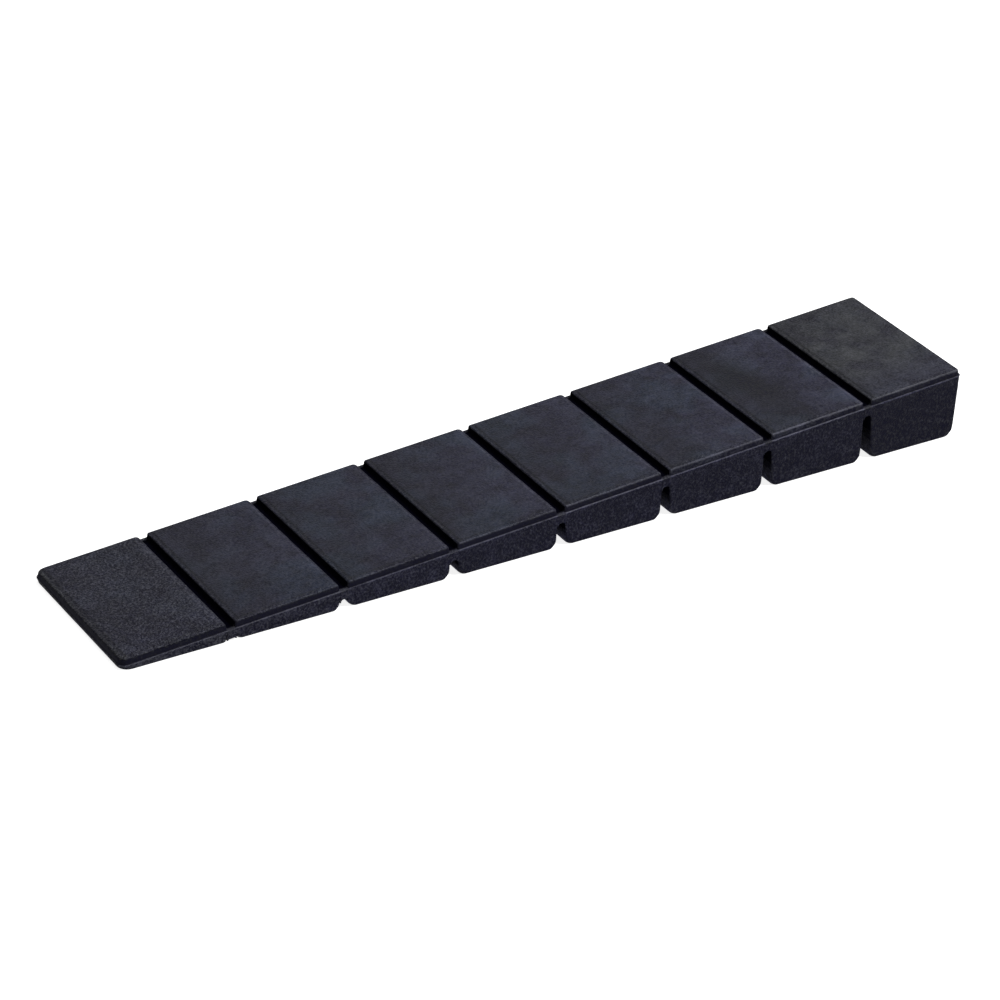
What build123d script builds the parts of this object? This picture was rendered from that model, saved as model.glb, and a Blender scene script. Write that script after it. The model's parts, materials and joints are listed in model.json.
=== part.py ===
from build123d import *
import math
import os

# A snap-off levelling wedge: one moulding of eight blocks in a row, rising from a thin tip to a
# thick heel. A narrow groove in the top and a slot in the underside part each block from the next
# and leave a thin web between them, along which the wedge folds and is snapped to length.
# X runs from the tip to the heel, Y across the wedge, Z up. The origin is at the middle of the
# underside. All sizes are in millimetres.

LENGTH = 150.0
WIDTH = 31.0
TIP_HEIGHT = 1.9
HEEL_HEIGHT = 12.0
BLOCK_COUNT = 8

GROOVE_WIDTH = 1.6          # between the top faces of two blocks
PAD_HEIGHT = 1.1            # from the parting line up to the top face
PAD_STEP = 0.2              # the ledge along the parting line, outside the foot of the pad
PAD_TAPER_DEG = 6.0         # draft of the pad's outer walls
PAD_EDGE_RADIUS = 0.25
PAD_TIP_RADIUS = 0.9        # the upright corners of the first pad, at the tip

WEB_THICKNESS = 1.6
SLOT_WIDTH = 1.3            # at the web, and wider below it
SIDE_TAPER_DEG = 1.0        # draft of the long walls below the parting line
SLOT_TAPER_DEG = 2.0        # draft of the slots' walls
END_TAPER_DEG = 4.0         # draft of the walls at the tip and the heel
TIP_RADIUS = 1.0            # the upright corners at the tip
CORNER_RADIUS = 0.35        # the other upright corners, and the long edges of the underside
FOOT_RADIUS = 1.1           # the edges that cross the underside, at the ends of each body
FOOT_SHARE = 0.45           # the most of a thin body's height that its foot radius takes
TIP_FOOT_RADIUS = 0.3       # the edges round the underside of the first body

SLOPE = (HEEL_HEIGHT - TIP_HEIGHT) / LENGTH
BLOCK_LENGTH = (LENGTH - (BLOCK_COUNT - 1) * GROOVE_WIDTH) / BLOCK_COUNT
PITCH = BLOCK_LENGTH + GROOVE_WIDTH
TIP_X = -LENGTH / 2
HEEL_X = LENGTH / 2
SIDE_TAPER = math.tan(math.radians(SIDE_TAPER_DEG))
SLOT_TAPER = math.tan(math.radians(SLOT_TAPER_DEG))
END_TAPER = math.tan(math.radians(END_TAPER_DEG))
PAD_TAPER = math.tan(math.radians(PAD_TAPER_DEG))
OVERSHOOT = 2.0             # how far a cutting shape runs past what it cuts
FACES_UP = 0.9              # least Z of the normal of a face that faces up


def parting_height(x):
    """Height of the parting line, where the pads stand on the bodies."""
    return TIP_HEIGHT + SLOPE * (x - TIP_X) - PAD_HEIGHT


def web_centre_x(number):
    """The middle of web 1 to 7, counted from the tip."""
    return TIP_X + number * PITCH - GROOVE_WIDTH / 2


def body_ends(number):
    """Where body 1 to 8 starts and ends at the parting line."""
    start = TIP_X if number == 1 else web_centre_x(number - 1) + SLOT_WIDTH / 2
    end = HEEL_X if number == BLOCK_COUNT else web_centre_x(number) - SLOT_WIDTH / 2
    return start, end


def six_sided(lower, upper):
    """The solid between two four-cornered faces whose corners run round in the same order."""
    faces = [Face(Wire.make_polygon(lower)), Face(Wire.make_polygon(upper))]
    for first in range(4):
        second = (first + 1) % 4
        side = [lower[first], lower[second], upper[second], upper[first]]
        faces.append(Face(Wire.make_polygon(side)))
    return Solid(Shell(faces))


def corners(ends, halves, heights):
    """Four corners of a face that is symmetric about the wedge's middle plane."""
    (start, end), (start_half, end_half), (start_z, end_z) = ends, halves, heights
    return [
        (start, -start_half, start_z),
        (end, -end_half, end_z),
        (end, end_half, end_z),
        (start, start_half, start_z),
    ]


def tapered_body(ends):
    """A body below the parting line, with drafted walls and its underside at Z = 0."""
    start, end = ends
    start_taper = END_TAPER if start == TIP_X else SLOT_TAPER
    end_taper = END_TAPER if end == HEEL_X else SLOT_TAPER
    low_ends = start + start_taper * parting_height(start), end - end_taper * parting_height(end)
    low_halves = [WIDTH / 2 - SIDE_TAPER * parting_height(x) for x in low_ends]
    top_heights = [parting_height(x) for x in ends]
    return six_sided(
        corners(low_ends, low_halves, (0, 0)),
        corners(ends, (WIDTH / 2, WIDTH / 2), top_heights),
    )


def upright_edges(solid, near_x):
    """The two corner edges that stand at one end of a solid."""
    found = []
    for edge in solid.edges():
        foot, head = sorted((edge @ 0, edge @ 1), key=lambda point: point.Z)
        leans = math.hypot(head.X - foot.X, head.Y - foot.Y)
        if head.Z - foot.Z > leans and abs(head.X - near_x) < OVERSHOOT:
            found.append(edge)
    return found


def tip_body(ends):
    """A body whose first end is the tip, with its upright corners and then its foot rounded."""
    body = tapered_body(ends)
    body = fillet(upright_edges(body, ends[0]), TIP_RADIUS)
    body = fillet(upright_edges(body, ends[1]), CORNER_RADIUS)
    return fillet(body.faces().sort_by(Axis.Z)[0].edges(), TIP_FOOT_RADIUS)


def later_body(ends):
    """Any other body: the edges across its foot are rounded first, then the rims of its two sides."""
    body = tapered_body(ends)
    across = body.faces().sort_by(Axis.Z)[0].edges().filter_by(Axis.Y)
    body = fillet(across, min(FOOT_RADIUS, FOOT_SHARE * parting_height(ends[0])))
    for side in (0, -1):
        rim = body.faces().sort_by(Axis.Y)[side].edges().sort_by(Axis.Z)[:-1]
        body = fillet(rim, CORNER_RADIUS)
    return body


def band_at_webs(ends):
    """The layer just below the parting line that is as thick as the webs."""
    reach = (WIDTH, WIDTH)
    top = [parting_height(x) for x in ends]
    bottom = [height - WEB_THICKNESS for height in top]
    return six_sided(corners(ends, reach, bottom), corners(ends, reach, top))


def make_pad(number):
    """The raised pad on one block, whose top face carries the load."""
    start, end = body_ends(number)
    top_inset = PAD_STEP + PAD_TAPER * PAD_HEIGHT
    top_start = TIP_X + (number - 1) * PITCH
    top_end = top_start + BLOCK_LENGTH
    if number == 1:
        start, top_start = start + PAD_STEP, top_start + top_inset
    if number == BLOCK_COUNT:
        end, top_end = end - PAD_STEP, top_end - top_inset
    foot = corners((start, end), (WIDTH / 2 - PAD_STEP,) * 2, [parting_height(x) for x in (start, end)])
    tops = [parting_height(x) + PAD_HEIGHT for x in (top_start, top_end)]
    top = corners((top_start, top_end), (WIDTH / 2 - top_inset,) * 2, tops)
    pad = six_sided(foot, top)
    if number == 1:
        pad = fillet(upright_edges(pad, start), PAD_TIP_RADIUS)
    if number == BLOCK_COUNT:
        pad = fillet(upright_edges(pad, end), CORNER_RADIUS)
    top_face = pad.faces().filter_by(lambda face: face.normal_at().Z > FACES_UP)
    return fillet(top_face.edges(), PAD_EDGE_RADIUS)


def make_block(number, strip):
    """One block: its shoulders at the height of the webs, its body below and its pad on top."""
    start, end = body_ends(number)
    outer_start = start - OVERSHOOT if number == 1 else start
    outer_end = end + OVERSHOOT if number == BLOCK_COUNT else end
    shoulders = strip & band_at_webs((outer_start, outer_end))
    body = tip_body((start, end)) if number == 1 else later_body((start, end))
    return shoulders + body + make_pad(number)


def make_web(number, strip):
    """The thin web between a block and the next."""
    return strip & band_at_webs((body_ends(number)[1], body_ends(number + 1)[0]))


def block_name(number):
    """Node name of a block: the first is the tip and the last is the heel."""
    ends = {1: "_tip", BLOCK_COUNT: "_heel"}
    return f"block_{number}{ends.get(number, '')}"


def main():
    os.makedirs("parts", exist_ok=True)
    strip = tip_body((TIP_X, HEEL_X))
    for number in range(1, BLOCK_COUNT + 1):
        export_step(make_block(number, strip), f"parts/{block_name(number)}.step")
    for number in range(1, BLOCK_COUNT):
        export_step(make_web(number, strip), f"parts/web_{number}.step")


if __name__ == "__main__":
    main()
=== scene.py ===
import json
import math

import bmesh
import bpy
import numpy as np
from mathutils import Matrix, Vector, noise


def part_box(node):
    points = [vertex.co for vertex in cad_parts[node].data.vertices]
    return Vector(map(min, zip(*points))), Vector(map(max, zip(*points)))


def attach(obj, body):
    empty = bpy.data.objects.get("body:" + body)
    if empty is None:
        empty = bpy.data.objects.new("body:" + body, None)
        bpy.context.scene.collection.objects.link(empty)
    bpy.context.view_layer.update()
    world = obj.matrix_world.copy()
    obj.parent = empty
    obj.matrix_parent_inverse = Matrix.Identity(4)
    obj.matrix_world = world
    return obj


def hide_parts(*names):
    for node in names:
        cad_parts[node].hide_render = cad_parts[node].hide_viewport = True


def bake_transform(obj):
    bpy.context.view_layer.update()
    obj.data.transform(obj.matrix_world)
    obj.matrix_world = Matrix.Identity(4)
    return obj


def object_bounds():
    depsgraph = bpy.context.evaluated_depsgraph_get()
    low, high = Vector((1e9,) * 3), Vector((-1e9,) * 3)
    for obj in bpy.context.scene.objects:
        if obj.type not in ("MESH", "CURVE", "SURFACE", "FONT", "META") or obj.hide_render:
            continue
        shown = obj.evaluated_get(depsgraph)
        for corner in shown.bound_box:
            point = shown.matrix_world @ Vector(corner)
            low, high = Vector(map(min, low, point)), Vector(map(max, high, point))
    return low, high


# A snap-off levelling wedge in spark-eroded black plastic: eight blocks with raised pads, joined by
# thin webs. X runs from the tip to the heel, Y across the wedge, Z up. Everything is in metres.

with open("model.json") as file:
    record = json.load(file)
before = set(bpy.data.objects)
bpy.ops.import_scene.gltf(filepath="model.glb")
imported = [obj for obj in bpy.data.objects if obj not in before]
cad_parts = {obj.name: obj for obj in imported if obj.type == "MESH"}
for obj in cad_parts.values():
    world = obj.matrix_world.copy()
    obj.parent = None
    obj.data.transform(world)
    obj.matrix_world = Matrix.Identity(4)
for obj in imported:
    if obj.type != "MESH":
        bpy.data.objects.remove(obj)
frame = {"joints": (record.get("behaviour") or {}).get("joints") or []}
cad_low, cad_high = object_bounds()

MM = 0.001

# ---------------------------------------------------------------- sizes of the CAD model
# The web's, the pad's and the groove's are as in part.py, and the rest is read from the frame.
BLOCK_COUNT = 8
TIP_X, HEEL_X = cad_low.x, cad_high.x
HALF_WIDTH = cad_high.y
PIVOTS = {joint["name"]: Vector(joint["pos_m"]) for joint in frame["joints"]}
WEB_CENTRES = [PIVOTS[f"fold_{number}"] for number in range(1, BLOCK_COUNT)]
SLOPE = (WEB_CENTRES[-1].z - WEB_CENTRES[0].z) / (WEB_CENTRES[-1].x - WEB_CENTRES[0].x)
WEB_THICKNESS = 1.6 * MM
PAD_HEIGHT = 1.1 * MM
GROOVE_WIDTH = 1.6 * MM
SLOT_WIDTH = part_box("web_1")[1].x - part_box("web_1")[0].x

# ---------------------------------------------------------------- sizes of the mouldings' details
PAD_STEP = 0.2 * MM             # the ledge along the parting line
PAD_DRAFT = 0.116 * MM          # how far the pad's outer walls lean in
PAD_EDGE_RADIUS = 0.27 * MM
TIP_STEP = 0.05 * MM            # the same ledge at the tip
LEDGE_START = 0.03 * MM         # the ledge starts this far inside the wall
TIP_EDGE_EXTRA = 0.3 * MM       # how much wider the pad's rounded edge is at the tip
TIP_CORNER_RADIUS = 1.35 * MM   # upright corners at the tip, 1.0 in the CAD
HEEL_CORNER_RADIUS = 0.8 * MM   # and at the heel, 0.35 in the CAD
GROOVE_CORNER_RADIUS = 0.32 * MM  # upright pad corners beside the grooves
REAR_CORNER_RADIUS = 0.7 * MM   # the pads' rear corners on the tip's side of each groove
RIM_WIDTH = 0.68 * MM           # a low rim runs round the top of each pad
RIM_STEP = 0.28 * MM            # how wide the step up from the rim is
RIM_DROP = 0.1 * MM
SINK_DEPTH = 0.07 * MM          # the thick pads sink in the middle as they cool
WAVINESS = 0.012 * MM
WAVE_LENGTH = 5.5 * MM
LIP_OUTSET = 0.035 * MM         # the witness line of the mould, proud of the wall
LIP_HEIGHT = 0.11 * MM
SIDE_DRAFT = math.tan(math.radians(1.0))
SLOT_DRAFT = math.tan(math.radians(2.0))
END_DRAFT = math.tan(math.radians(4.0))
SLOT_CORNER_RADIUS = 0.3 * MM   # upright corners beside the slots, 0.35 in the CAD
WEB_CORNER_RADIUS = 0.12 * MM   # upright corners of the shoulders beside a web
FOOT_RADIUS = 1.1 * MM          # the edges round the underside, at the ends of each body
SIDE_FOOT_RADIUS = 0.35 * MM    # and along its two sides
TIP_FOOT_RADIUS = 0.3 * MM
FOOT_SHARE = 0.45               # the most of a thin body's height that its foot radius takes
FOOT_CORNER_GAIN = 0.6 * MM     # the upright corners are rounder at the foot
FOOT_CORNER_HEIGHT = 1.6 * MM
GROOVE_FILLET = 0.3 * MM
SLOT_FILLET = 0.5 * MM
EDGE_WANDER = 0.018 * MM        # no moulded edge is quite straight
WANDER_LENGTH = 4.0 * MM
LEAST_CORNER = 0.05 * MM        # no upright corner of a body is sharper than this
LEAST_PAD_CORNER = 0.04 * MM
SHOULDER_GAP = 0.35 * MM        # from the top of the walls up to the shoulders
WEB_OVERLAP = 0.12 * MM         # how far a web's mesh reaches into the blocks beside it
WEB_INSET = 0.05 * MM           # how far its top edges stand inside the walls
WEB_LOW_INSET = 0.07 * MM       # and the edges of its underside
FILLET_END = 0.3 * MM           # the groove's fillet fades out this far from the walls,
FILLET_FADE = 0.5 * MM          # over this distance
DARK_START = 0.2 * MM           # and its painted shade begins this far in, over this distance
DARK_FADE = 0.75 * MM           # over this distance
WEB_END_HIGHLIGHT = 0.5                  # painted highlight on its lit ends, as a share of the lip's

WANDER_SEED = 20
FOOT_CLEARANCE = 1.05           # the shoulders start at least this many foot radii up
LEAST_ROOM = 0.003              # least height of a wall, in foot radii
LEAST_STEP = 0.01               # between two rings over a shoulder, in foot radii
LEDGE_RISE = 0.013 * MM         # the foot of a pad's wall stands this far above the parting line
DISH_FLATNESS = 1.2             # how far toward its sides a sunken pad stays flat

# ---------------------------------------------------------------- profiles
# Steps over the shoulders: drop below them in millimetres, and how far the corners have sharpened.
SHOULDER_STEPS = (0.3, 0.0), (0.12, 0.12), (0.03, 0.5), (0.0, 0.85), (-0.05, 1.0)
# The lip along the parting line: rise, outset from the wall, and share of its painted highlight.
LIP_STEPS = ((-LIP_HEIGHT, 0.0, 0.1), (-0.75 * LIP_HEIGHT, 0.7 * LIP_OUTSET, 0.7),
             (-0.35 * LIP_HEIGHT, LIP_OUTSET, 1.0), (0.0, 0.55 * LIP_OUTSET, 1.0),
             (0.12 * LIP_HEIGHT, -LEDGE_START, 0.9))
# The same lip on the walls of a web, from the top down.
WEB_LIP_STEPS = ((-0.1 * LIP_HEIGHT, 0.55 * LIP_OUTSET, 1.0), (-0.4 * LIP_HEIGHT, LIP_OUTSET, 1.0),
                 (-0.75 * LIP_HEIGHT, 0.7 * LIP_OUTSET, 0.7), (-LIP_HEIGHT, 0.0, 0.1))
PAD_WALL_SHARES = 0.0, 0.06, 0.35, 0.7, 1.0
SHOULDER_SHARES = 0.4, 0.8      # rings between the web's underside and the parting line

# ---------------------------------------------------------------- mesh density
ARC_STEPS = 3                   # half a corner
CLOSE_STEPS = 8                 # close rows beside each edge, where the rim is
CLOSE_WIDTH = 1.05 * MM
LENGTH_STEPS = 30
WIDTH_STEPS = 50
FILLET_STEPS = 5
WALL_STEPS = 7
WALL_STEP = 0.12                # share of the wall's height between two of its rings
WEB_LENGTH_STEPS = 17
WEB_WIDTH_STEPS = 61
WEB_CROWDING = 1.7              # how much closer a web's rows are near the walls
WEB_WALL_SHARES = 0.4, 0.75     # rows of a web's wall, below its lip
LEAST_RISE = 0.02 * MM          # between two rings of a foot

# ---------------------------------------------------------------- where the finish and the painted light and shade change
HALF_DEEP, DEEP = 0.3, 0.72     # past these shares of painted recess shade a face takes a shaded copy of the plastic, with less specular
SLOT_FACING = 0.75, 0.97        # how squarely a wall faces a slot as its painted shade sets in
FOOT_PAINTED_SHADE = 0.1               # how dark the foot of a slot's wall is painted, for shade
DARK_SHARE = 0.8                # the slots' walls are painted fully dark, for shade, at this share of their height
PAD_FOOT_HIGHLIGHT = 0.8             # painted highlight at the foot of a pad's wall, as a share of the lip's
EDGE_FADE = 1.6                 # how soon the dark of a pad's wall ends over its edge
SLOT_FLOOR_LIGHT = 1.5                 # painted light: how much paler the slots' walls are at the foot, where light from the floor reaches
WALL_GRAIN = 1.5                # strength of the grain on the walls
TIP_TURN = 1.2                  # how soon the finish of the tip's wall gives way to the sides'
TIP_HIGHLIGHT_LOSS = 0.65            # share of the painted edge highlights that is missing there
TIP_NEUTRAL = 0.9               # how grey the black is there
START_TURN = 1.3                # the same turn on the pads, whose rim gets no painted highlight on the tip's side
TIP_SHADE = 0.1                 # the first pad is painted this much darker at the tip, for shade, and this much more under its edge, a painted shadow
TIP_SHADOW = 0.65               # and this much more under its edge
HIGHLIGHT_STRIP = 0.33 * MM          # middle and reach of the painted highlight strip at a pad's far end
TIP_HIGHLIGHT, TIP_HIGHLIGHT_REACH = 0.85 * MM, 0.2 * MM      # a second one on the first pad
TIP_HIGHLIGHT_GAIN = 0.3
LINE_REACH = 0.3 * MM           # of the painted shade lines inside the rim, on the tip's side and in front
NEAR_SHADE_LINE, FRONT_SHADE_LINE = 0.8 * MM, 0.75 * MM
LINE_SHADE = 0.3
DARK_PATCH_PLACE = 0.34             # a darker patch on a pad: its place along the pad, its reach along and across, and how it slants
DARK_PATCH_LENGTH = 3.2 * MM        # its reach along and across, and how it slants
DARK_PATCH_WIDTH = 11.0 * MM
DARK_PATCH_SLANT = 25.0 * MM
FRONT_NEUTRAL_LOSS = 0.75       # the pads are bluer toward the front,
FRONT_START, FRONT_FADE = 0.2, 0.7      # from this share of the half width on, over this share

# How the finish of the blocks differs, from the tip to the heel. These were set over many
# renders, until the colours measured in them agreed with those measured in the photo, so they also
# hold part of its lighting.
BLOCK_LOOKS = {
    "coarse": (1.3, 0.45, 0.4, 0.35, 0.35, 0.4, 0.4, 0.55),         # strength of the pad's grain
    "neutral": (0.22, 0.15, 0.08, 0.05, 0.05, 0.0, 0.0, 0.85),      # how grey the pad's black is and how pale; at the heel both are partly a painted reflection
    "pale": (0.4, 0.3, 0.38, 0.5, 0.5, 0.55, 0.7, 1.05),            # and how pale
    "band": (1.0, 1.0, 1.0, 1.0, 0.95, 0.7, 0.7, 0.9),              # darkness of the pad's walls
    "sink": (0.0, 0.5, 0.6, 0.8, 0.9, 1.0, 1.2, 1.0),               # share of the full sink
    "lip_highlight": (0.4, 0.56, 0.45, 0.55, 0.68, 0.48, 0.7, 0.36),     # painted highlight on the lip, on the wall just below it, on the pad's edge and on its far end
    "below_lip_highlight": (0.0, 0.06, 0.06, 0.03, 0.0, 0.03, 0.08, 0.2),      # of the wall just below it,
    "rim_highlight": (0.0, 0.1, 0.1, 0.23, 0.4, 0.4, 0.53, 0.42),        # of the pad's edge
    "end_highlight": (0.26, 0.22, 0.23, 0.24, 0.25, 0.33, 0.45, 0.08),   # and of its far end
    "front_shade_line": (0.4, 0.4, 0.4, 0.35, 0.35, 0.2, 0.15, 0.1),      # painted shade line inside the front rim
    "dark_patch": (0.0, 0.1, 0.0, 0.0, 0.0, 0.1, 0.75, -0.2),           # darkness of the darker patch
    "slant": (-0.1, 0.5, 0.4, 0.6, 0.5, 0.6, 0.75, 0.3),            # painted light: how much paler the far end is painted
    "wall_painted_shade": (0.8, 0.7, 0.6, 0.48, 0.44, 0.4, 0.36, 0.25),     # mostly painted shade of the walls, darker from tip to heel as the light falls off
    "wall_neutral": (0.55, 0.35, 0.15, 0.05, 0.0, 0.0, 0.0, 0.0),   # and how grey they are
}


def parting_height(x):
    """Height of the parting line, which runs level with the tops of the webs."""
    return WEB_CENTRES[0].z + WEB_THICKNESS / 2 + SLOPE * (x - WEB_CENTRES[0].x)


def smooth(value):
    """Eases 0 to 1 in and out, and clips past both ends."""
    value = np.clip(value, 0.0, 1.0)
    return value * value * (3 - 2 * value)


def line_at(distance, place, reach):
    """1 at a place and 0 past its reach, eased between."""
    return 1 - smooth(abs(distance - place) / reach)


def look_of(number):
    """The finish of a block, or of the web after it."""
    return {name: values[number - 1] for name, values in BLOCK_LOOKS.items()}


def side_stations(length, first_radius, second_radius, coarse):
    """Distances along the straight run of one side: close rows at both ends and wider ones between."""
    straight = length - first_radius - second_radius
    close = min(CLOSE_WIDTH, straight / 4)
    rows = np.linspace(0, close, CLOSE_STEPS + 1)
    middle = np.linspace(close, straight - close, coarse + 1)
    return first_radius + np.concatenate([rows[:-1], middle, (straight - rows[::-1])[1:]])


def outline(start, end, half, radii):
    """A rounded rectangle seen from above, as points and outward normals, anticlockwise from its
    start at the front. radii holds its four corner radii. Every outline has as many points."""
    corners = [(start, -half), (end, -half), (end, half), (start, half)]
    points, normals = [], []
    for side in range(4):
        corner, following = np.array(corners[side]), np.array(corners[(side + 1) % 4])
        first, second = radii[side], radii[(side + 1) % 4]
        length = np.linalg.norm(following - corner)
        along = (following - corner) / length
        out = np.array([along[1], -along[0]])
        for step in range(ARC_STEPS):
            angle = math.pi / 4 * (1 - step / ARC_STEPS)
            normal = out * math.cos(angle) - along * math.sin(angle)
            points.append(corner + along * first - out * first + normal * first)
            normals.append(normal)
        coarse = LENGTH_STEPS if side % 2 == 0 else WIDTH_STEPS
        for distance in side_stations(length, first, second, coarse):
            points.append(corner + along * distance)
            normals.append(out)
        for step in range(1, ARC_STEPS):
            angle = math.pi / 4 * step / ARC_STEPS
            normal = out * math.cos(angle) + along * math.sin(angle)
            points.append(following - along * second - out * second + normal * second)
            normals.append(normal)
    return np.array(points), np.array(normals)


def side_counts():
    """Segments of an outline along the length and across the width."""
    extra = 2 * ARC_STEPS + 2 * CLOSE_STEPS
    return LENGTH_STEPS + extra, WIDTH_STEPS + extra


def cap_points(ring):
    """The inside of a ring as a grid, blended from its four sides."""
    columns, rows = side_counts()
    front = ring[: columns + 1]
    right = ring[columns : columns + rows + 1]
    back = ring[columns + rows : 2 * columns + rows + 1][::-1]
    left = np.vstack([ring[2 * columns + rows :], ring[:1]])[::-1]
    u = np.linspace(0, 1, columns + 1)[:, None, None]
    v = np.linspace(0, 1, rows + 1)[None, :, None]
    sides = (1 - v) * front[:, None] + v * back[:, None] + (1 - u) * left[None] + u * right[None]
    corners = (1 - u) * (1 - v) * front[0] + u * (1 - v) * front[-1]
    corners = corners + (1 - u) * v * back[0] + u * v * back[-1]
    return sides - corners


def ring_index_grid():
    """For each point of a cap's grid, its place in the ring, or -1 inside."""
    columns, rows = side_counts()
    grid = np.full((columns + 1, rows + 1), -1)
    grid[:, 0] = np.arange(columns + 1)
    grid[-1, :] = columns + np.arange(rows + 1)
    grid[::-1, -1] = columns + rows + np.arange(columns + 1)
    grid[0, 1:] = (2 * columns + 2 * rows - np.arange(1, rows + 1))
    return grid


class Shell:
    """Collects rings and caps into one closed mesh, with values stored on its points."""

    def __init__(self):
        self.points, self.faces, self.values = [], [], {}
        self.count = 0
        self.last = None

    def add_points(self, points, **values):
        start = self.count
        self.points.append(points)
        self.count += len(points)
        for name, value in values.items():
            self.values.setdefault(name, []).append(np.broadcast_to(value, len(points)).astype(float))
        return start

    def ring(self, points, **values):
        start = self.add_points(points, **values)
        size = len(points)
        if self.last is not None:
            step = np.arange(size)
            after = (step + 1) % size
            low, high = self.last, start
            self.faces.append(np.stack([low + step, low + after, high + after, high + step], 1))
        self.last = start

    def cap(self, points, upward, **values):
        """Closes the last ring with a grid of points, whose rim is that ring."""
        ring_start = self.last
        size = 2 * sum(side_counts())
        grid = ring_index_grid()
        inside = grid < 0
        values = {key: np.broadcast_to(value, inside.shape)[inside] for key, value in values.items()}
        start = self.add_points(points[inside], **values)
        place = np.where(inside, 0, ring_start + grid % size)
        place[inside] = start + np.arange(inside.sum())
        quads = np.stack([place[:-1, :-1], place[1:, :-1], place[1:, 1:], place[:-1, 1:]], -1)
        quads = quads.reshape(-1, 4)
        self.faces.append(quads if upward else quads[:, ::-1])

    def build(self, name, materials):
        mesh = bpy.data.meshes.new(name)
        points = np.vstack(self.points)
        faces = np.vstack(self.faces)
        mesh.from_pydata(points.tolist(), [], faces.tolist())
        for key, chunks in self.values.items():
            attribute = mesh.attributes.new(key, "FLOAT", "POINT")
            attribute.data.foreach_set("value", np.concatenate(chunks).astype(np.float32))
        mesh.polygons.foreach_set("use_smooth", np.ones(len(mesh.polygons), bool))
        mesh.validate()
        for item in materials:
            mesh.materials.append(item)
        # faces deep in the painted recess shade take the shaded copies of the plastic
        recess = np.concatenate(self.values["recess"])
        least = np.array([min(recess[list(face.vertices)]) for face in mesh.polygons])
        mesh.polygons.foreach_set("material_index", (least > HALF_DEEP).astype(int) + (least > DEEP))
        made = bpy.data.objects.new(name, mesh)
        bpy.context.scene.collection.objects.link(made)
        return made


def wave(points, length, seed):
    """Gentle noise from -1 to 1 at each point."""
    offset = Vector((seed * 7.3, seed * 3.1, seed * 5.7))
    return np.array([noise.noise(Vector(point) / length + offset) for point in points])


def lift(flat, height):
    """Points on an outline, raised to a height or to one height each."""
    return np.column_stack([flat, np.broadcast_to(height, len(flat))])


def four_corners(at_start, at_end):
    """Corner radii of an outline that is the same at the front and the rear."""
    return [at_start, at_end, at_end, at_start]


def block_name(number):
    """CAD node and body name of a block."""
    ends = {1: "_tip", BLOCK_COUNT: "_heel"}
    return f"block_{number}{ends.get(number, '')}"


def pad_top(points, start, end, number, sink_share):
    """Heights to add to a pad's flat top: a low rim round it, a sunken middle and slight waves."""
    x, y = points[..., 0], points[..., 1]
    edge = np.minimum(np.minimum(x - start, end - x), HALF_WIDTH - PAD_STEP - PAD_DRAFT - abs(y))
    rim = -RIM_DROP * (1 - smooth((edge - RIM_WIDTH + RIM_STEP / 2) / RIM_STEP))
    along_dish = np.clip(1 - ((x - (start + end) / 2) / ((end - start) / 2)) ** 2, 0, 1)
    across_dish = np.clip(1 - (y / HALF_WIDTH) ** 2, 0, 1)
    sink = -SINK_DEPTH * sink_share * smooth(along_dish) * smooth(across_dish * DISH_FLATNESS)
    waves = (WAVINESS * wave(points.reshape(-1, 3), WAVE_LENGTH, number)).reshape(x.shape)
    inner = smooth(edge / CLOSE_WIDTH)
    return rim + sink + waves * inner, inner


def pad_marks(points, start, end, number):
    """Painted highlight strips at a pad's far end, painted shade lines beside the step up from the rim,
    a darker patch, and painted light growing along the pad.
    """
    look = look_of(number)
    x, y = points[..., 0], points[..., 1]
    from_start, from_end = x - start, end - x
    from_front = HALF_WIDTH - PAD_STEP - PAD_DRAFT + np.where(y < 0, y, -y)
    # painted highlight strips near the far end
    painted_highlight = look["end_highlight"] * line_at(from_end, HIGHLIGHT_STRIP, HIGHLIGHT_STRIP)
    if number == 1:
        painted_highlight = painted_highlight + TIP_HIGHLIGHT_GAIN * line_at(from_end, TIP_HIGHLIGHT, TIP_HIGHLIGHT_REACH)
    # painted shade lines where the rim's step turns away from the light
    start_rim_shade = 1 - smooth((from_start - RIM_WIDTH) / LINE_REACH)
    near_shade_line = line_at(from_start, NEAR_SHADE_LINE, LINE_REACH)
    front_shade_line = line_at(from_front, FRONT_SHADE_LINE, LINE_REACH) * (y < 0)
    shade = 1 - LINE_SHADE * start_rim_shade - LINE_SHADE * near_shade_line - look["front_shade_line"] * front_shade_line
    from_dark_patch = (from_start - DARK_PATCH_PLACE * (end - start)) / DARK_PATCH_LENGTH + y / DARK_PATCH_SLANT
    shade = shade - look["dark_patch"] * np.exp(-(from_dark_patch ** 2) - (y / DARK_PATCH_WIDTH) ** 2)
    # painted light growing from the tip's end of the pad to its far end
    shade = shade * (1 + look["slant"] * (from_start / (end - start) - 0.5))
    return painted_highlight, shade


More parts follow.
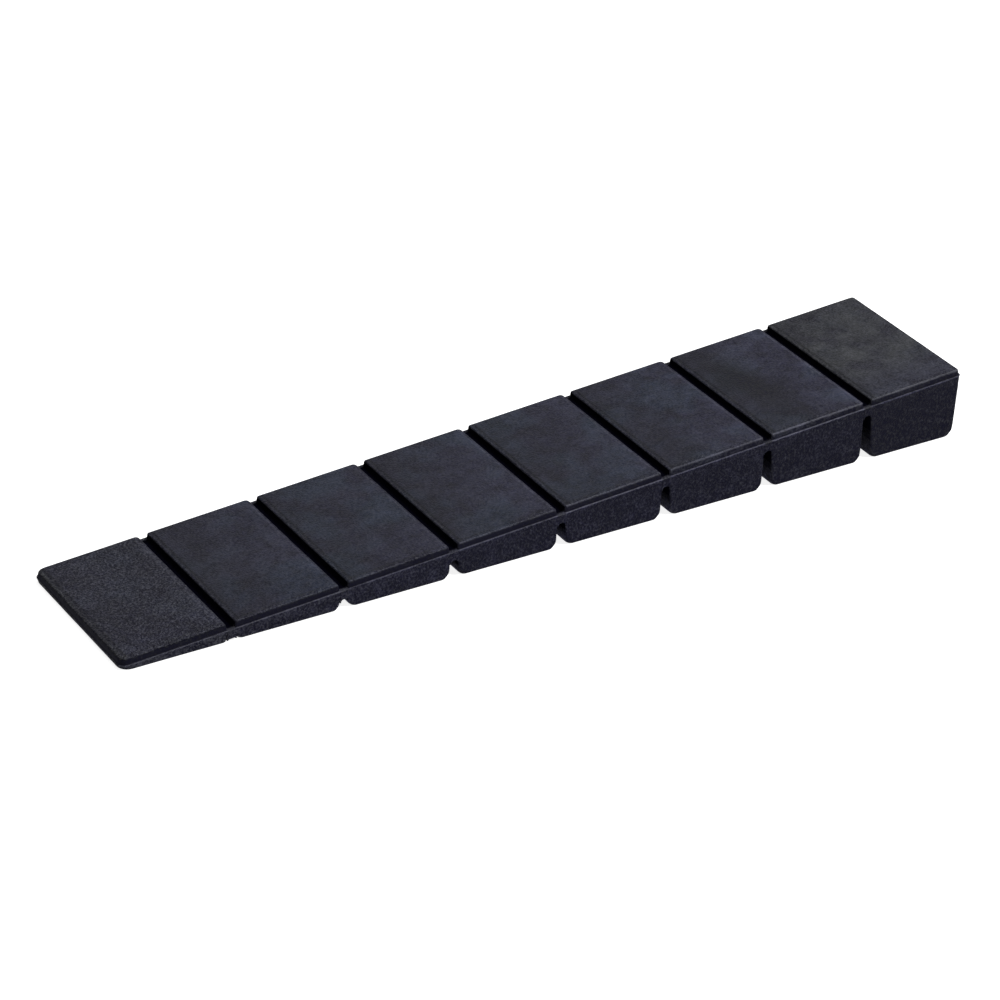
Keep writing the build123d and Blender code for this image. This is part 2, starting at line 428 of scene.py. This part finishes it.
class Block:
    """One block, built from the underside up: foot, walls, shoulders, lip, ledge and pad."""

    def __init__(self, number):
        self.number = number
        self.first, self.last = number == 1, number == BLOCK_COUNT
        self.start = TIP_X if self.first else WEB_CENTRES[number - 2].x + SLOT_WIDTH / 2
        self.end = HEEL_X if self.last else WEB_CENTRES[number - 1].x - SLOT_WIDTH / 2
        self.middle = (self.start + self.end) / 2
        later_foot = min(FOOT_RADIUS, FOOT_SHARE * parting_height(self.start))
        self.foot = TIP_FOOT_RADIUS if self.first else later_foot
        self.side_foot = min(SIDE_FOOT_RADIUS, self.foot)
        self.roof = max(parting_height(self.middle) - WEB_THICKNESS, self.foot)
        self.body_radii = self.corner_radii(SLOT_CORNER_RADIUS)
        self.web_radii = self.corner_radii(WEB_CORNER_RADIUS)
        self.look = look_of(number)
        self.pad_finish = {name: self.look[name] for name in ("coarse", "neutral", "pale")}
        self.wall_finish = {"coarse": WALL_GRAIN, "neutral": self.look["wall_neutral"], "pale": 0.0}
        self.shell = Shell()

    def corner_radii(self, beside_webs, heel_inset=0.0):
        """Four corner radii: beside the webs, and the tip's and the heel's own."""
        return four_corners(TIP_CORNER_RADIUS if self.first else beside_webs,
                            HEEL_CORNER_RADIUS - heel_inset if self.last else beside_webs)

    def slot_wall(self, normals):
        """How far a point faces a slot or a groove, where little light comes."""
        begin, full = SLOT_FACING
        share = smooth((abs(normals[:, 0]) - begin) / (full - begin))
        outer = (normals[:, 0] < 0) & self.first | (normals[:, 0] > 0) & self.last
        return np.where(outer, 0.0, share)

    # the recess and shade values paint shade and light on this ring, the edge value paints highlights
    def add(self, flat, normals, height, recess=0.0, band=0.0, edge=0.0, shade=1.0, finish=None):
        """Adds a ring, which wanders a little from its outline, and returns its points."""
        finish = finish or self.wall_finish
        points = lift(flat, height)
        wander = EDGE_WANDER * wave(points, WANDER_LENGTH, WANDER_SEED + self.number)
        points[:, :2] += normals * wander[:, None]
        # the tip's walls lose part of their painted edge highlight and turn greyer
        at_tip = smooth(-normals[:, 0] * TIP_TURN) if self.first else 0.0
        edge = edge * (1 - TIP_HIGHLIGHT_LOSS * at_tip)
        finish = {**finish, "neutral": np.maximum(finish["neutral"], TIP_NEUTRAL * at_tip)}
        self.shell.ring(points, recess=recess, band=band, inner=0.0, edge=edge, shade=shade, **finish)
        return points

    def body_ring(self, height, radii):
        """The outline of the body at a height, with its drafted walls and rounded foot."""
        insets = []
        for draft, x, radius in (
                (END_DRAFT if self.first else SLOT_DRAFT, self.start, self.foot),
                (END_DRAFT if self.last else SLOT_DRAFT, self.end, self.foot),
                (SIDE_DRAFT, self.middle, self.side_foot)):
            gap = max(radius - height, 0.0)
            insets.append(draft * (parting_height(x) - height) + radius - math.sqrt(radius**2 - gap**2))
        start_inset, end_inset, side_inset = insets
        rounder = FOOT_CORNER_GAIN * (1 - float(smooth(height / FOOT_CORNER_HEIGHT)))
        rounder -= max(self.side_foot - height, 0.0)
        radii = [max(radius + rounder, LEAST_CORNER) for radius in radii]
        return outline(self.start + start_inset, self.end - end_inset, HALF_WIDTH - side_inset, radii)

    def shoulder(self, x):
        """Height of the web's underside, or of the foot where that is higher."""
        return np.maximum(parting_height(x) - WEB_THICKNESS, self.foot * FOOT_CLEARANCE)

    def add_foot(self):
        """The underside and the rounded edges round it."""
        arcs = [radius * (1 - math.cos(math.pi / 2 * step / FILLET_STEPS))
                for radius in (self.foot, self.side_foot) for step in range(FILLET_STEPS + 1)]
        heights = [0.0]
        for height in sorted(arcs):
            if height - heights[-1] > LEAST_RISE:
                heights.append(height)
        # the walls' painted shade, darker toward the slots and painted paler at their foot
        for height in heights:
            flat, normals = self.body_ring(height, self.body_radii)
            inside = self.slot_wall(normals)
            shade = self.look["wall_painted_shade"] * (1 + SLOT_FLOOR_LIGHT * inside)
            ring = self.add(flat, normals, height, recess=inside * FOOT_PAINTED_SHADE, shade=shade)
            if height == 0:
                self.shell.cap(cap_points(ring), upward=False, recess=0.0, band=0.0, inner=0.0, edge=0.0,
                               shade=self.look["wall_painted_shade"], **self.wall_finish)

    def add_walls(self):
        """The drafted walls, up to the shoulders. In the slots they are painted darker as they rise, for
        shade.
        """
        for step in range(1, WALL_STEPS + 1):
            share = step * WALL_STEP
            mean = self.foot + (self.shoulder(self.middle) - self.foot) * share
            flat, normals = self.body_ring(mean, self.body_radii)
            room = self.shoulder(flat[:, 0]) - SHOULDER_GAP - self.foot
            height = self.foot + np.maximum(room, LEAST_ROOM * self.foot) * share
            inside = self.slot_wall(normals)
            # painted shade rising up the slots' walls, with painted floor light at their foot
            darker = FOOT_PAINTED_SHADE + (1 - FOOT_PAINTED_SHADE) * smooth(share / DARK_SHARE)
            shade = self.look["wall_painted_shade"] * (1 + SLOT_FLOOR_LIGHT * inside * (1 - share))
            self.add(flat, normals, height, recess=inside * darker, shade=shade)

    def add_shoulders(self):
        """Over the rounded corners of the slots to the sharper ones beside the webs."""
        # painted shade of the walls, and dark toward the slots
        shade = self.look["wall_painted_shade"]
        for drop, share in SHOULDER_STEPS:
            radii = [body + (web - body) * share for body, web in zip(self.body_radii, self.web_radii)]
            flat, normals = self.body_ring(self.roof, radii)
            least = self.foot * (1 + LEAST_STEP * (1 - drop))
            height = np.maximum(self.shoulder(flat[:, 0]) - drop * MM, least)
            self.add(flat, normals, height, recess=self.slot_wall(normals) * (1 - share), shade=shade)
        for share in SHOULDER_SHARES:
            mean = self.roof + (parting_height(self.middle) - self.roof) * share
            flat, normals = self.body_ring(mean, self.web_radii)
            low = self.shoulder(flat[:, 0])
            height = low + (parting_height(flat[:, 0]) - low) * share
            # a soft painted highlight on the wall just below the lip
            self.add(flat, normals, height, shade=shade, edge=self.look["below_lip_highlight"] * share)

    def add_lip(self):
        """The witness line of the mould along the parting line, and the start of the ledge, with a
        painted highlight along it.
        """
        for rise, outset, highlight_share in LIP_STEPS:
            flat, normals = outline(
                self.start - (outset if self.first else 0), self.end + (outset if self.last else 0),
                HALF_WIDTH + outset, [radius + max(outset, 0) for radius in self.web_radii])
            self.add(flat, normals, parting_height(flat[:, 0]) + rise, edge=highlight_share * self.look["lip_highlight"])

    def pad_ring(self, share, inset, height, depth, edge=0.0):
        """One ring of the pad, whose depth is 1 on its wall and falls past 0 over its edge."""
        beside_groove = (GROOVE_WIDTH - SLOT_WIDTH) / 2
        lean_first = PAD_DRAFT if self.first else beside_groove
        lean_last = PAD_DRAFT if self.last else beside_groove
        ledge_first, ledge_last = TIP_STEP * self.first, PAD_STEP * self.last
        wider = inset / PAD_EDGE_RADIUS * TIP_EDGE_EXTRA * self.first
        radii = self.corner_radii(GROOVE_CORNER_RADIUS, PAD_STEP)
        if not self.last:
            radii[2] = REAR_CORNER_RADIUS
        flat, normals = outline(
            self.start + ledge_first + lean_first * share + inset + wider,
            self.end - ledge_last - lean_last * share - inset,
            HALF_WIDTH - PAD_STEP - PAD_DRAFT * share - inset,
            [max(radius - inset, LEAST_PAD_CORNER) for radius in radii])
        # painted shade on the pad's walls toward a groove
        recess = self.slot_wall(normals) * smooth(depth)
        faces_tip = smooth(-normals[:, 0] * START_TURN)
        # painted shade and a painted shadow under the first pad's edge at the tip
        shadow = TIP_SHADE + TIP_SHADOW * (1 - min(abs(depth - 0.5) / 0.5, 1.0))
        return self.add(
            flat, normals, parting_height(flat[:, 0]) + height, recess=recess,
            band=self.look["band"] * smooth(depth) * (1 - recess), finish=self.pad_finish,
            edge=edge * (1 - recess) * (1 - faces_tip), shade=1 - shadow * faces_tip * self.first)

    def add_pad(self):
        """The pad's wall, the rounded edge round its top, and its top."""
        wall_top = PAD_HEIGHT - RIM_DROP - PAD_EDGE_RADIUS
        for share in PAD_WALL_SHARES:
            height = wall_top * share + LEDGE_RISE * (1 - share)
            # a painted highlight at the foot of the pad's wall
            edge = PAD_FOOT_HIGHLIGHT * self.look["lip_highlight"] if share == 0 else 0.0
            self.pad_ring(share * wall_top / PAD_HEIGHT, 0.0, height, 1.0, edge=edge)
        for step in range(1, FILLET_STEPS + 1):
            angle = math.pi / 2 * step / FILLET_STEPS
            height = wall_top + PAD_EDGE_RADIUS * math.sin(angle)
            inset = PAD_EDGE_RADIUS * (1 - math.cos(angle))
            depth = 1 - step / FILLET_STEPS * EDGE_FADE
            # a painted highlight along the pad's rounded edge
            edge = max(math.sin(2 * angle), 0.0) ** 0.5 * self.look["rim_highlight"]
            ring = self.pad_ring(height / PAD_HEIGHT, inset, height, depth, edge=edge)
        self.add_top(cap_points(ring))

    def add_top(self, grid):
        """The load face, inside the rounded edge."""
        beside_groove = (GROOVE_WIDTH - SLOT_WIDTH) / 2
        tip_inset = TIP_STEP + PAD_DRAFT + TIP_EDGE_EXTRA
        start = self.start + (tip_inset if self.first else beside_groove)
        end = self.end - (PAD_STEP + PAD_DRAFT if self.last else beside_groove)
        added, inner = pad_top(grid, start, end, self.number, self.look["sink"])
        grid[..., 2] += RIM_DROP + added
        # painted highlights and painted light and shade on the load face
        painted_highlight, shade = pad_marks(grid, start, end, self.number)
        toward_front = smooth((-grid[..., 1] / HALF_WIDTH - FRONT_START) / FRONT_FADE)
        neutral = self.look["neutral"] * (1 - FRONT_NEUTRAL_LOSS * toward_front)
        finish = {**self.pad_finish, "neutral": neutral}
        self.shell.cap(grid, upward=True, recess=0.0, band=0.0, inner=inner, edge=painted_highlight, shade=shade,
                       **finish)


def make_block(number, materials):
    """One block as one closed mesh."""
    block = Block(number)
    block.add_foot()
    block.add_walls()
    block.add_shoulders()
    block.add_lip()
    block.add_pad()
    made = block.shell.build(f"moulded_{block_name(number)}", materials)
    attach(made, block_name(number))
    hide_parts(block_name(number))
    return made


def fillet_rise(radius, gap):
    """How far a fillet stands off a flat at a distance from the wall that it runs up to."""
    return radius - math.sqrt(radius**2 - max(radius - gap, 0) ** 2)


def web_section(x, gap, slot_fillet, across, look):
    """One section across a web, as its points and the values on them. gap is the distance from the
    nearer block."""
    top = parting_height(x)
    swell, drop_in = fillet_rise(GROOVE_FILLET, gap), fillet_rise(slot_fillet, gap)
    y_top = across * (HALF_WIDTH - WEB_INSET)
    from_wall = HALF_WIDTH - abs(y_top)
    z_top = top + swell * smooth((from_wall - FILLET_END) / FILLET_FADE)
    draft = SIDE_DRAFT * WEB_THICKNESS
    low_draft = SIDE_DRAFT * (WEB_THICKNESS + drop_in)
    y_low = across * (HALF_WIDTH - low_draft - WEB_LOW_INSET)
    rows = [(drop, out) for drop, out, _ in WEB_LIP_STEPS]
    rows += [(-WEB_THICKNESS * share, -draft * share) for share in WEB_WALL_SHARES]
    rows.append((-WEB_THICKNESS - drop_in + WEB_LOW_INSET, -low_draft))
    front = [(x, -HALF_WIDTH - out, top + drop) for drop, out in rows]
    back = [(x, HALF_WIDTH + out, top + drop) for drop, out in rows]
    points = [(x, y, z) for y, z in zip(y_top[::-1], z_top[::-1])] + front
    points += [(x, y, top - WEB_THICKNESS - drop_in) for y in y_low] + back[::-1]
    # painted shade over the groove's floor away from its ends and over the slot's roof; painted
    # highlights on the lip and the lit ends of the floor
    deep = smooth((from_wall[::-1] - DARK_START) / DARK_FADE)
    recess = np.concatenate([deep, np.zeros(len(front)), np.ones(len(y_low)), np.zeros(len(back))])
    wall_edge = [highlight_share for _, _, highlight_share in WEB_LIP_STEPS] + [0.0] * (len(rows) - len(WEB_LIP_STEPS))
    edge = np.concatenate([WEB_END_HIGHLIGHT * (1 - deep), wall_edge, np.zeros(len(y_low)), wall_edge[::-1]])
    return np.array(points), {"recess": recess, "edge": edge * look["lip_highlight"]}


def make_web(number, materials):
    """The thin web after a block: the groove's floor, the slot's roof and the wall between its ends."""
    centre = WEB_CENTRES[number - 1]
    reach = SLOT_WIDTH / 2
    look = look_of(number)
    slot_fillet = min(SLOT_FILLET, 0.5 * (parting_height(centre.x - reach) - WEB_THICKNESS))
    offsets = np.linspace(-reach, reach, WEB_LENGTH_STEPS)
    offsets = np.concatenate([[-reach - WEB_OVERLAP], offsets, [reach + WEB_OVERLAP]])
    even = np.linspace(-1, 1, WEB_WIDTH_STEPS)
    across = np.sign(even) * (1 - (1 - abs(even)) ** WEB_CROWDING)
    shell = Shell()
    for offset in offsets:
        gap = max(reach - abs(offset), 0.0)
        points, values = web_section(centre.x + offset, gap, slot_fillet, across, look)
        # the walls' painted shade, as on the block before
        shell.ring(points, **values, band=0.0, inner=0.0, shade=look["wall_painted_shade"],
                   coarse=WALL_GRAIN, neutral=look["wall_neutral"], pale=0.0)
    size = len(points)
    made = shell.build(f"moulded_web_{number}", materials)
    close_ends(made.data, [np.arange(size)[::-1], shell.last + np.arange(size)])
    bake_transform(made)
    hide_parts(f"web_{number}")
    return made


def close_ends(mesh, loops):
    """Fills the two open ends of a web, which lie inside its blocks."""
    work = bmesh.new()
    work.from_mesh(mesh)
    work.verts.ensure_lookup_table()
    for loop in loops:
        work.faces.new([work.verts[int(index)] for index in loop])
    bmesh.ops.recalc_face_normals(work, faces=work.faces)
    work.to_mesh(mesh)
    work.free()
    mesh.polygons.foreach_set("use_smooth", np.ones(len(mesh.polygons), bool))


class Nodes:
    """Shorthand for building a node tree."""

    def __init__(self, tree):
        self.tree = tree

    def add(self, kind, settings=None, **inputs):
        node = self.tree.nodes.new(kind)
        for name, value in (settings or {}).items():
            setattr(node, name, value)
        for name, value in inputs.items():
            self.put(node, name, value)
        return node

    def put(self, node, name, value):
        socket = node.inputs[name]
        if isinstance(value, bpy.types.NodeSocket):
            self.tree.links.new(value, socket)
        else:
            socket.default_value = value

    def maths(self, operation, first, second=0.0, clamp=False):
        node = self.tree.nodes.new("ShaderNodeMath")
        node.operation, node.use_clamp = operation, clamp
        for index, value in enumerate((first, second)):
            if isinstance(value, bpy.types.NodeSocket):
                self.tree.links.new(value, node.inputs[index])
            else:
                node.inputs[index].default_value = value
        return node.outputs[0]

    def times(self, first, second, clamp=False):
        return self.maths("MULTIPLY", first, second, clamp)

    def plus(self, first, second):
        return self.maths("ADD", first, second)

    def minus(self, first, second, clamp=False):
        return self.maths("SUBTRACT", first, second, clamp)

    def scaled(self, vector, factor):
        node = self.add("ShaderNodeVectorMath", {"operation": "SCALE"}, Vector=vector, Scale=factor)
        return node.outputs["Vector"]

    def noise(self, position, size, detail=2.0, roughness=0.5, distortion=0.0):
        node = self.add("ShaderNodeTexNoise", Vector=position, Scale=1.0 / size, Detail=detail,
                        Roughness=roughness, Distortion=distortion)
        return node.outputs["Fac"]

    def fit(self, value, low, high, to_low=0.0, to_high=1.0):
        node = self.add("ShaderNodeMapRange", Value=value)
        for name, number in (("From Min", low), ("From Max", high), ("To Min", to_low),
                             ("To Max", to_high)):
            self.put(node, name, number)
        return node.outputs["Result"]

    def mix(self, share, first, second):
        node = self.tree.nodes.new("ShaderNodeMix")
        node.data_type = "RGBA"
        for index, value in ((0, share), (6, first), (7, second)):
            if isinstance(value, bpy.types.NodeSocket):
                self.tree.links.new(value, node.inputs[index])
            else:
                node.inputs[index].default_value = value
        return node.outputs[2]

    def attribute(self, name):
        return self.add("ShaderNodeAttribute", {"attribute_name": name}).outputs["Fac"]


BLUE_BLACK = (0.0112, 0.0111, 0.0240, 1.0)
TEAL_BLACK = (0.0083, 0.0135, 0.0260, 1.0)
PALE_BLACK = (0.0210, 0.0222, 0.0375, 1.0)
WALL_BLACK = (0.0085, 0.0085, 0.0300, 1.0)
NEUTRAL_BLACK = (0.0275, 0.0288, 0.0310, 1.0)
# near black painted into the grooves and slots for shade
RECESS_SHADE_BLACK = (0.0009, 0.0009, 0.0026, 1.0)
BAND_BLACK = (0.0006, 0.0006, 0.0060, 1.0)
# pale grey painted over edges, lips and rims as highlights
PAINTED_HIGHLIGHT_GREY = (0.0700, 0.0700, 0.0960, 1.0)
# paler flecks of grain in the painted shade of grooves and slots
DEEP_SHADE_GREY = (0.0019, 0.0019, 0.0052, 1.0)
LEAST_COLOUR = (0.0008, 0.0008, 0.0085)
GRAIN_GREY = (0.0100, 0.0102, 0.0115)
GRAIN_SIZE = 0.36 * MM
FINE_GRAIN_SIZE = 0.19 * MM
MOTTLE_SIZE = 4.5 * MM
SPECKLE_SIZE = 1.3 * MM
CLOUD_SIZE = 9.0 * MM
GRAIN_CONTRAST = 15.0
PAD_GAIN = 3.0                  # only pads are pale: this times their paleness, clipped, finds them
BLOTCH_SHARES = 0.6, 0.4        # of the mottle and of the clouds in the pads' blotches
BLOTCH_RANGE = 0.4, 0.6         # of the pattern over which the pads turn paler,
TINT_RANGE = 0.48, 0.62         # and over which they turn teal,
TINT_FADE = 0.4, 1.3, 1.0, 0.35     # less so where the grain is coarse
GREY_FADE = 0.3, 0.6, 0.4, 1.0  # the mottle in how grey the black is
LEAST_BRIGHTNESS = 0.1
SHADE_FADE = 0.0, 1.0, 0.4, 1.0     # the grain shows less where the shade is deep
FINE_SHARE = 0.5                # of the fine grain in the relief
WALL_RELIEF_SHARE = 0.7         # of the relief on the walls
WALL_GRAIN_SHARE = 0.6          # of the grain's contrast on the walls
WALL_SPECKLE = 2.4              # how strongly the walls are speckled
SPECKLE_CONTRAST = 1.6
MOTTLE_CONTRAST = 1.3
SATIN_SHARE = 0.85              # how much of the grain is smoothed away on a satin pad,
BAND_CALM = 0.85                # on the pads' walls,
HIGHLIGHT_CALM = 0.8                 # and on the painted edge highlights
GRAIN_DEPTH = 0.3 * MM
RECESS_GRAIN_DEPTH = 0.05 * MM
ROUGHNESS = 0.46, 0.56          # lowest and highest over the mottle
RECESS_ROUGHNESS = 0.85, 0.95
RECESS_ROUGHER = 0.3
# specular of the plastic and of its half-shaded copy
PAD_GLOSS, SLOT_GLOSS = 0.3, 0.13
# the recess and shade marks carry painted shade and light, the edge mark painted highlights
MARKS = "recess", "band", "edge", "inner", "coarse", "neutral", "pale", "shade"


class PlasticNodes(Nodes):
    """The patterns of the plastic, its relief and its colour, from the values on the points."""

    def __init__(self, tree):
        super().__init__(tree)
        position = self.add("ShaderNodeTexCoord").outputs["Object"]
        self.marks = {name: self.attribute(name) for name in MARKS}
        self.on_pad = self.times(self.marks["pale"], PAD_GAIN, clamp=True)
        self.grain = self.noise(position, GRAIN_SIZE, detail=2.0, roughness=0.6)
        self.fine = self.noise(position, FINE_GRAIN_SIZE, detail=1.0)
        self.speckle = self.noise(position, SPECKLE_SIZE, detail=3.0, roughness=0.65)
        self.mottle = self.noise(position, MOTTLE_SIZE, detail=3.0, roughness=0.55, distortion=0.4)
        self.cloud = self.noise(position, CLOUD_SIZE, detail=2.0)

    def texture(self):
        """Strength of the grain: full on walls, margins and the first block, weak inside the pads."""
        satin = self.times(self.marks["inner"], self.minus(1.0, self.marks["coarse"], clamp=True))
        strength = self.minus(1.0, self.times(satin, SATIN_SHARE))
        calm = self.minus(1.0, self.times(self.marks["band"], BAND_CALM))
        calm = self.times(calm, self.minus(1.0, self.times(self.marks["edge"], HIGHLIGHT_CALM)))
        return self.times(strength, calm)

    def relief(self, texture):
        """Height of the grain, lower on the walls."""
        rise = self.plus(self.grain, self.times(self.fine, FINE_SHARE))
        return self.times(rise, self.times(texture, self.fit(self.on_pad, 0, 1, WALL_RELIEF_SHARE, 1)))

    def base_colour(self):
        """The plastic's black, with its mottle, painted highlights on its edges and darker bands, before
        the grain.
        """
        mottle_share, cloud_share = BLOTCH_SHARES
        blotch = self.plus(self.times(self.mottle, mottle_share), self.times(self.cloud, cloud_share))
        share = self.times(self.fit(blotch, *BLOTCH_RANGE), self.marks["pale"], clamp=True)
        tint = self.times(self.fit(self.cloud, *TINT_RANGE), self.on_pad)
        tint = self.times(tint, self.fit(self.marks["coarse"], *TINT_FADE))
        colour = self.mix(share, self.mix(tint, BLUE_BLACK, TEAL_BLACK), PALE_BLACK)
        colour = self.mix(self.on_pad, WALL_BLACK, colour)
        greyed = self.times(self.marks["neutral"], self.fit(self.mottle, *GREY_FADE))
        colour = self.mix(greyed, colour, NEUTRAL_BLACK)
        colour = self.mix(self.marks["band"], colour, BAND_BLACK)
        return self.mix(self.marks["edge"], colour, PAINTED_HIGHLIGHT_GREY)

    def brightness(self):
        """What the base colour is multiplied by: speckle, mottle and the painted light and shade on the
        points.
        """
        grey = self.times(self.minus(self.speckle, 0.5), SPECKLE_CONTRAST)
        grey = self.plus(grey, self.times(self.minus(self.mottle, 0.5), MOTTLE_CONTRAST))
        bright = self.maths("MAXIMUM", self.plus(1.0, grey), LEAST_BRIGHTNESS)
        return self.times(bright, self.marks["shade"])

    def grit(self, texture):
        """What the grain adds to the colour, with blots on the walls."""
        strength = self.times(texture, self.maths("MAXIMUM", self.marks["coarse"], 1.0))
        spread = self.times(self.times(self.minus(self.grain, 0.5), GRAIN_CONTRAST), strength)
        spread = self.times(spread, self.fit(self.marks["shade"], *SHADE_FADE))
        spread = self.times(spread, self.fit(self.on_pad, 0, 1, WALL_GRAIN_SHARE, 1))
        walls = self.minus(1.0, self.maths("MAXIMUM", self.on_pad, self.marks["band"]))
        blots = self.times(self.minus(self.speckle, 0.5), WALL_SPECKLE)
        return self.scaled(GRAIN_GREY, self.plus(spread, self.times(blots, walls)))

    def colour(self, texture):
        summed = self.add("ShaderNodeVectorMath", {"operation": "ADD"})
        self.tree.links.new(self.scaled(self.base_colour(), self.brightness()), summed.inputs[0])
        self.tree.links.new(self.grit(texture), summed.inputs[1])
        floored = self.add("ShaderNodeVectorMath", {"operation": "MAXIMUM"})
        self.tree.links.new(summed.outputs["Vector"], floored.inputs[0])
        floored.inputs[1].default_value = LEAST_COLOUR
        # painted shade: near black in the grooves and slots
        return self.mix(self.marks["recess"], floored.outputs["Vector"], RECESS_SHADE_BLACK)

    def roughness(self):
        rough = self.fit(self.mottle, 0.3, 0.7, *ROUGHNESS)
        return self.maths("ADD", rough, self.times(self.marks["recess"], RECESS_ROUGHER), clamp=True)


def new_material(name):
    """An empty material, as itself and its shader."""
    material = bpy.data.materials.new(name)
    material.use_nodes = True
    return material, material.node_tree.nodes["Principled BSDF"]


def plastic(name, gloss):
    """Black polypropylene with a spark-eroded grain, smoother and mottled in the middle of the pads."""
    material, shader = new_material(name)
    nodes = PlasticNodes(material.node_tree)
    texture = nodes.texture()
    bump = nodes.add("ShaderNodeBump", Height=nodes.relief(texture), Strength=1.0, Distance=GRAIN_DEPTH)
    nodes.put(shader, "Base Color", nodes.colour(texture))
    nodes.put(shader, "Roughness", nodes.roughness())
    nodes.put(shader, "Normal", bump.outputs["Normal"])
    nodes.put(shader, "Specular IOR Level", gloss)
    return material


def shaded_plastic():
    """A shaded copy of the plastic for faces deep in the grooves and slots: painted all but black, with
    no specular, for shade.
    """
    material, shader = new_material("spark_eroded_black_plastic_recess")
    nodes = Nodes(material.node_tree)
    position = nodes.add("ShaderNodeTexCoord").outputs["Object"]
    grain = nodes.noise(position, GRAIN_SIZE, detail=2.0)
    bump = nodes.add("ShaderNodeBump", Height=grain, Strength=1.0, Distance=RECESS_GRAIN_DEPTH)
    colour = nodes.mix(nodes.fit(grain, 0.35, 0.7), RECESS_SHADE_BLACK, DEEP_SHADE_GREY)
    nodes.put(shader, "Base Color", colour)
    nodes.put(shader, "Roughness", nodes.fit(grain, 0.3, 0.7, *RECESS_ROUGHNESS))
    nodes.put(shader, "Normal", bump.outputs["Normal"])
    nodes.put(shader, "Specular IOR Level", 0.0)
    return material


# ---------------------------------------------------------------- stage, light and camera
FLOOR_SIZE = 14.0
FLOOR_GAP = 0.02 * MM
WORLD_STRENGTH = 0.16
CAMERA_ANGLES = -30.195, 29.337, 0.432      # azimuth, elevation and roll in degrees
CAMERA_DISTANCE = 0.62827
CAMERA_AIM = Vector((-5.28, -5.57, 5.0)) * MM
CAMERA_LENS, CAMERA_SENSOR = 145.66, 36.0   # in millimetres, as Blender counts them


def make_floor():
    """A plain pale floor, level with the underside."""
    mesh = bpy.data.meshes.new("floor")
    edge = FLOOR_SIZE / 2
    mesh.from_pydata([(-edge, -edge, 0), (edge, -edge, 0), (edge, edge, 0), (-edge, edge, 0)], [],
                     [(0, 1, 2, 3)])
    floor = bpy.data.objects.new("floor", mesh)
    floor.location.z = -FLOOR_GAP
    bpy.context.scene.collection.objects.link(floor)
    material, shader = new_material("pale_floor")
    shader.inputs["Base Color"].default_value = (0.6, 0.6, 0.6, 1.0)
    shader.inputs["Roughness"].default_value = 0.9
    shader.inputs["Specular IOR Level"].default_value = 0.0
    shader.inputs["Emission Color"].default_value = (1.0, 1.0, 1.0, 1.0)
    shader.inputs["Emission Strength"].default_value = 0.85
    mesh.materials.append(material)
    floor.visible_glossy = False


def make_light(name, position, size, radiance):
    """A square softbox of even brightness that faces the origin."""
    data = bpy.data.lights.new(name, "AREA")
    data.shape = "SQUARE"
    data.size = size
    data.energy = radiance * math.pi * size * size
    light = bpy.data.objects.new(name, data)
    light.location = position
    light.rotation_euler = (-Vector(position)).to_track_quat("-Z", "Y").to_euler()
    bpy.context.scene.collection.objects.link(light)


def make_world(strength):
    """Even grey light from all round."""
    world = bpy.data.worlds.new("studio")
    world.use_nodes = True
    background = world.node_tree.nodes["Background"]
    background.inputs["Color"].default_value = (1.0, 1.0, 1.0, 1.0)
    background.inputs["Strength"].default_value = strength
    bpy.context.scene.world = world


def make_camera():
    """A long lens from the front, above the wedge and to the tip's side."""
    azimuth, elevation, roll = (math.radians(angle) for angle in CAMERA_ANGLES)
    back = Vector((math.sin(azimuth) * math.cos(elevation), -math.cos(azimuth) * math.cos(elevation),
                   math.sin(elevation)))
    data = bpy.data.cameras.new("camera")
    data.sensor_width = CAMERA_SENSOR
    data.lens = CAMERA_LENS
    data.clip_start, data.clip_end = 0.01, 20.0
    camera = bpy.data.objects.new("camera", data)
    camera.location = CAMERA_AIM + back * CAMERA_DISTANCE
    turn = (-back).to_track_quat("-Z", "Y").to_matrix() @ Matrix.Rotation(roll, 3, "Z")
    camera.rotation_euler = turn.to_euler()
    bpy.context.scene.collection.objects.link(camera)
    bpy.context.scene.camera = camera


# the plastic, a half-shaded copy with less specular, and a painted-shade copy for the deepest faces
plastic_and_shaded_copies = [plastic("spark_eroded_black_plastic", PAD_GLOSS),
            plastic("spark_eroded_black_plastic_half_shade", SLOT_GLOSS), shaded_plastic()]
for block in range(1, BLOCK_COUNT + 1):
    make_block(block, plastic_and_shaded_copies)
for web in range(1, BLOCK_COUNT):
    make_web(web, plastic_and_shaded_copies)

make_floor()
make_world(WORLD_STRENGTH)
make_light("overhead", (0.2, 0.3, 0.95), size=0.6, radiance=3.0)
make_light("front_right", (0.46, -0.50, 0.78), size=0.3, radiance=38.0)
make_camera()
bpy.context.scene.view_settings.view_transform = "Standard"
